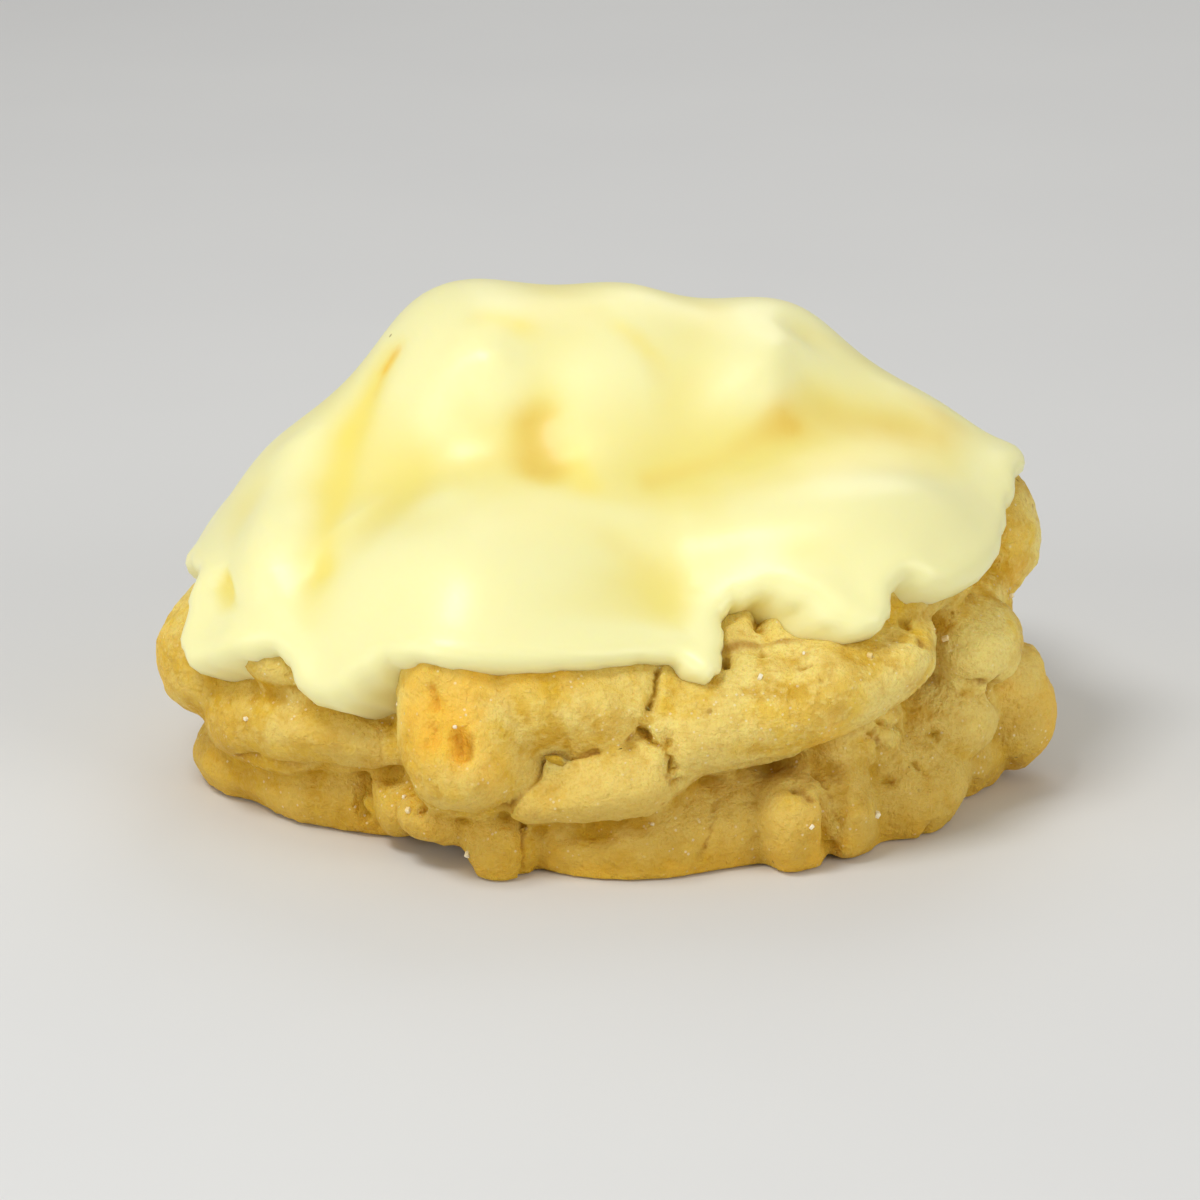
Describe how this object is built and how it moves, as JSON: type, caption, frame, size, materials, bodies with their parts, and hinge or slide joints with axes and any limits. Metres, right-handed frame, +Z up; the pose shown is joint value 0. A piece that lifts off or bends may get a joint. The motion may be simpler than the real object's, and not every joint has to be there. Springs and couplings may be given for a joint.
{
  "type": "iced lemon cookie",
  "caption": "Thick mounded cookie of torn, folded dough with a baked flat base, topped with poured pale yellow lemon icing that ends in rounded drips all round.",
  "frame": {"origin": "centre of the flat base, on the plate", "axes": "+X to the right of the pictured side and along the longest extent, -Y towards the viewer, +Z up and along the shortest extent"},
  "size_m": [0.0754, 0.0706, 0.0396],
  "materials": {
    "dough": "golden baked dough, matte and fine grained, browner on the thin folds",
    "icing": "set poured icing, pale lemon, satin gloss, slightly see-through where it is thin"
  },
  "bodies": {
    "root": {"dough": "dough", "icing": "icing"}
  },
  "joints": []
}
